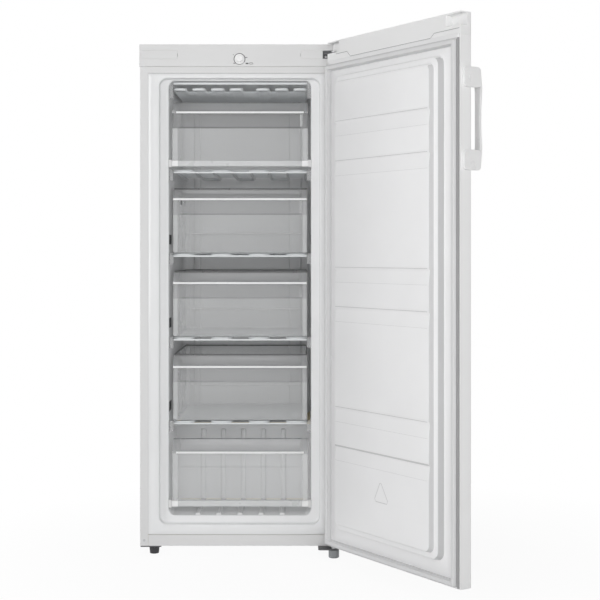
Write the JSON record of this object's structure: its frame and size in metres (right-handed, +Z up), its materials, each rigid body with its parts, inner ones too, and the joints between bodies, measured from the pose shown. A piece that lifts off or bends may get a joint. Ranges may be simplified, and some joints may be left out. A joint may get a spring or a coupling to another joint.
{
  "type": "upright freezer",
  "caption": "White upright freezer with a hinged door standing open, wire shelves, clear sliding drawers and clear front flaps.",
  "frame": {"origin": "on the floor, under the door's hinge pins, at the middle of the right front foot's base", "axes": "+X right as seen from the front, +Y into the cabinet towards its back, +Z up"},
  "size_m": [0.8831, 1.015, 1.413],
  "materials": {
    "case_paint": "satin",
    "liner_plastic": "satin",
    "trim_plastic": "satin",
    "clear_plastic": "gloss",
    "seal": "matt",
    "foam": "matt",
    "evaporator_steel": "satin",
    "galvanised": "satin",
    "black_paint": "satin",
    "copper": "satin",
    "dark_plastic": "matt",
    "grey_plastic": "matt",
    "dark_steel": "satin",
    "rubber": "matt"
  },
  "bodies": {
    "cabinet": {"outer_case": "case_paint", "back_panel": "galvanised", "foam_insulation": "foam", "inner_liner": "liner_plastic", "base_pan": "galvanised", "bottom_rail": "case_paint", "control_fascia": "trim_plastic", "hinge_covers": "trim_plastic", "top_cross_rail": "galvanised", "thermostat_body": "dark_plastic", "compressor": "black_paint", "compressor_grommets": "rubber", "relay_cover": "dark_plastic", "compressor_tray": "galvanised", "condenser": "black_paint", "condenser_wires": "black_paint", "condenser_brackets": "dark_plastic", "suction_pipe": "copper", "filter_drier": "copper", "capillary_tube": "copper", "cord_gland": "dark_plastic", "evaporator_shelf_1": "evaporator_steel", "evaporator_shelf_2": "evaporator_steel", "evaporator_shelf_3": "evaporator_steel", "evaporator_shelf_4": "evaporator_steel", "evaporator_shelf_5": "evaporator_steel", "shelf_wires": "evaporator_steel", "shelf_front_bars": "evaporator_steel", "shelf_clips": "trim_plastic", "flap_pivot_holders": "trim_plastic", "rear_feet": "dark_plastic", "bottom_hinge_bracket": "dark_steel", "top_hinge_bracket": "dark_steel", "hinge_pins": "galvanised", "case_screws": "galvanised", "left_foot_plate": "galvanised"},
    "door": {"door_skin": "case_paint", "door_foam": "foam", "door_liner": "liner_plastic", "door_gasket": "seal", "door_top_cap": "trim_plastic", "door_bottom_cap": "trim_plastic", "door_handle": "trim_plastic", "handle_screw_caps": "trim_plastic", "door_hinge_bushes": "trim_plastic"},
    "drawer_top": {"drawer_1": "clear_plastic", "drawer_1_grip": "trim_plastic"},
    "drawer_middle": {"drawer_2": "clear_plastic", "drawer_2_grip": "trim_plastic"},
    "drawer_low": {"drawer_3": "clear_plastic", "drawer_3_grip": "trim_plastic"},
    "flap_top": {"top_flap": "clear_plastic", "top_flap_grip": "trim_plastic", "top_flap_pivots": "trim_plastic"},
    "flap_bottom": {"bottom_flap": "clear_plastic", "bottom_flap_grip": "trim_plastic", "bottom_flap_pivots": "trim_plastic"},
    "knob": {"thermostat_knob": "trim_plastic"},
    "foot_left": {"left_foot": "dark_plastic"},
    "foot_right": {"right_foot": "grey_plastic"}
  },
  "joints": [
    {"name": "door_hinge", "type": "hinge", "parent": "cabinet", "child": "door", "pos_m": [0, 0, 0.7], "axis": [0, 0, 1], "range_deg": [-124, 6]},
    {"name": "drawer_top_slide", "type": "slide", "parent": "cabinet", "child": "drawer_top", "axis": [0, -1, 0], "range_m": [0, 0.28]},
    {"name": "drawer_middle_slide", "type": "slide", "parent": "cabinet", "child": "drawer_middle", "axis": [0, -1, 0], "range_m": [0, 0.28]},
    {"name": "drawer_low_slide", "type": "slide", "parent": "cabinet", "child": "drawer_low", "axis": [0, -1, 0], "range_m": [0, 0.28]},
    {"name": "flap_top_hinge", "type": "hinge", "parent": "cabinet", "child": "flap_top", "pos_m": [-0.26, 0.058, 1.084], "axis": [1, 0, 0], "range_deg": [0, 90]},
    {"name": "flap_bottom_hinge", "type": "hinge", "parent": "cabinet", "child": "flap_bottom", "pos_m": [-0.26, 0.058, 0.137], "axis": [1, 0, 0], "range_deg": [0, 90]},
    {"name": "thermostat_turn", "type": "hinge", "parent": "cabinet", "child": "knob", "pos_m": [-0.26, 0.028, 1.371], "axis": [0, -1, 0], "range_deg": [-270, 0]},
    {"name": "foot_left_screw", "type": "hinge", "parent": "cabinet", "child": "foot_left", "pos_m": [-0.498, 0.053, 0.01], "axis": [0, 0, 1], "continuous": true},
    {"name": "foot_right_screw", "type": "hinge", "parent": "cabinet", "child": "foot_right", "pos_m": [0, 0, 0.01], "axis": [0, 0, 1], "continuous": true}
  ]
}
